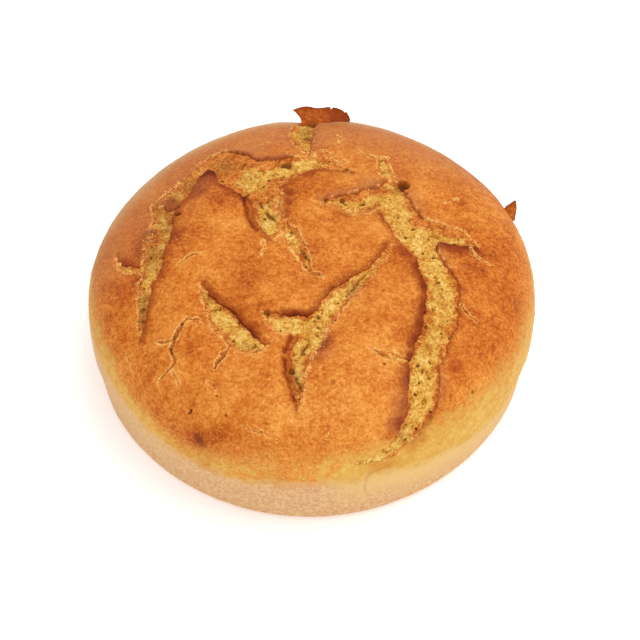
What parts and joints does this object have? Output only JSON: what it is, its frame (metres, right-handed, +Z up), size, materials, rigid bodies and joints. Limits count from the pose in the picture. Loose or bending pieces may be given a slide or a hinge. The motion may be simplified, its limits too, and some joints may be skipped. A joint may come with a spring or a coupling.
{
  "type": "cornbread",
  "caption": "Round tin-baked cornbread loaf with a domed browned crust that tore open along deep ragged cracks, and a flat underside to rest on.",
  "frame": {"origin": "centre of the underside, on the surface the loaf rests on", "axes": "+Z up through the crown, -Y towards the front where the long tear ends, +X towards the side with the long tear"},
  "size_m": [0.2202, 0.2218, 0.078],
  "materials": {
    "crust": "baked maize crust: browned orange-gold on top, pale tan on the tin side, light yellow porous crumb in the tears"
  },
  "bodies": {
    "root": {"loaf": "crust"}
  },
  "joints": []
}
